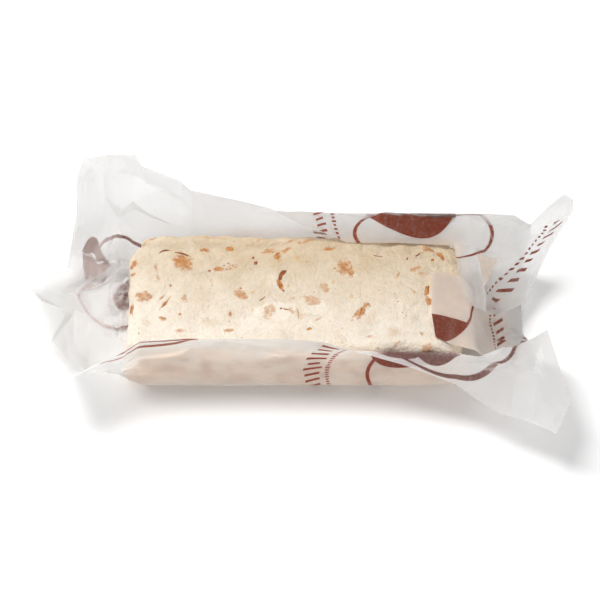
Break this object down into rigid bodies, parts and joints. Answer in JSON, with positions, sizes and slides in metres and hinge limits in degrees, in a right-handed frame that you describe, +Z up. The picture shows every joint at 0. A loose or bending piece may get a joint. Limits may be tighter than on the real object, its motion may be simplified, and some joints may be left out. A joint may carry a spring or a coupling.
{
  "type": "nougat bar in its opened paper wrapper",
  "caption": "Soft white nougat bar with embedded nut pieces, lying in an opened, creased waxed-paper wrapper that stands up round it and lies over one end.",
  "frame": {"origin": "on the flat underside of the wrapper, below the middle of the bar", "axes": "+X along the bar towards the end that the paper covers, +Y towards the wrapper's high back wall, +Z up"},
  "size_m": [0.2065, 0.1059, 0.0563],
  "materials": {
    "nougat": "soft matt cream nougat with tan nut pieces, stands in for food",
    "waxed_paper": "thin white waxed paper, half translucent, printed brown outside"
  },
  "bodies": {
    "root": {"nougat_bar": "nougat", "paper_wrapper": "waxed_paper"}
  },
  "joints": []
}
